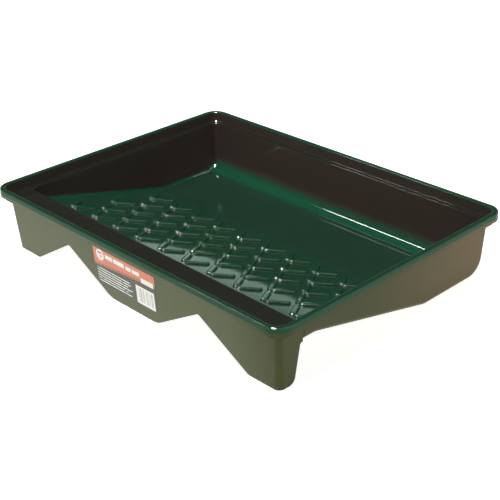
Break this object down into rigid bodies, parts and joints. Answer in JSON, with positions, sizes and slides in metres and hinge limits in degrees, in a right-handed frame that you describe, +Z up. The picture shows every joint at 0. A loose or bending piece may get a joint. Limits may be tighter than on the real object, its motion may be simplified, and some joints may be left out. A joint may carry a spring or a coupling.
{
  "type": "paint roller tray",
  "caption": "Wide one-piece paint roller tray with a deep well, a sloping ramp with raised roll-off bars, a ledge inside a turned-down rim, and a footed front skirt with a label.",
  "frame": {"origin": "middle of the tray in plan, on the floor", "axes": "+X across the tray, +Y from the shallow front end with its skirt and label to the deep well end, +Z up"},
  "size_m": [0.533, 0.398, 0.0895],
  "materials": {
    "tray": "gloss moulded polypropylene, dark green, a little waxy outside",
    "label": "printed film label, orange and dark olive, satin"
  },
  "bodies": {
    "root": {"tray": "tray", "label": "label"}
  },
  "joints": []
}
